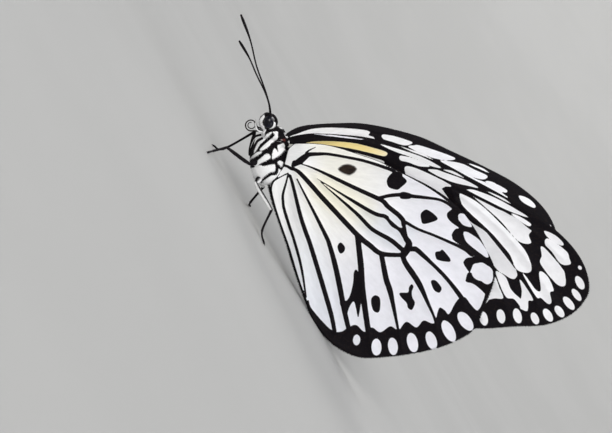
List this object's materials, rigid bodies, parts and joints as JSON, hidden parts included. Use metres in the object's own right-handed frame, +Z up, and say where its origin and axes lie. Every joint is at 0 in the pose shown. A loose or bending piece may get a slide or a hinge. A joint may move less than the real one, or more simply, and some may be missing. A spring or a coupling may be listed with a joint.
{
  "type": "paper kite butterfly",
  "caption": "Life-size paper kite butterfly at rest on its legs, its black-veined white wings folded up and slightly apart.",
  "frame": {"origin": "on the floor under the middle of the whole length and width, antennae and wing tips included", "axes": "+Z up from the floor, head towards -X, the butterfly's left side towards -Y"},
  "size_m": [0.0887, 0.0282, 0.0547],
  "materials": {
    "wing_scales": "pearly white scales with black veins and spots",
    "body_fur": "short black and white hair and scales",
    "eye": "glossy, finely faceted",
    "horny_black": "satin, with pale scales"
  },
  "bodies": {
    "root": {"thorax": "body_fur", "collar": "body_fur", "head": "body_fur", "abdomen": "body_fur", "eye_left": "eye", "eye_right": "eye", "palp_left": "body_fur", "palp_right": "body_fur", "antenna_left": "horny_black", "antenna_right": "horny_black", "proboscis": "horny_black", "foreleg_left": "horny_black", "foreleg_right": "horny_black", "mid_leg_left_femur": "horny_black", "mid_leg_left_tibia": "horny_black", "mid_leg_right_femur": "horny_black", "mid_leg_right_tibia": "horny_black", "hind_leg_left_femur": "horny_black", "hind_leg_left_tibia": "horny_black", "hind_leg_right_femur": "horny_black", "hind_leg_right_tibia": "horny_black", "forewing_left": "wing_scales", "forewing_right": "wing_scales", "hindwing_left": "wing_scales", "hindwing_right": "wing_scales"}
  },
  "joints": []
}
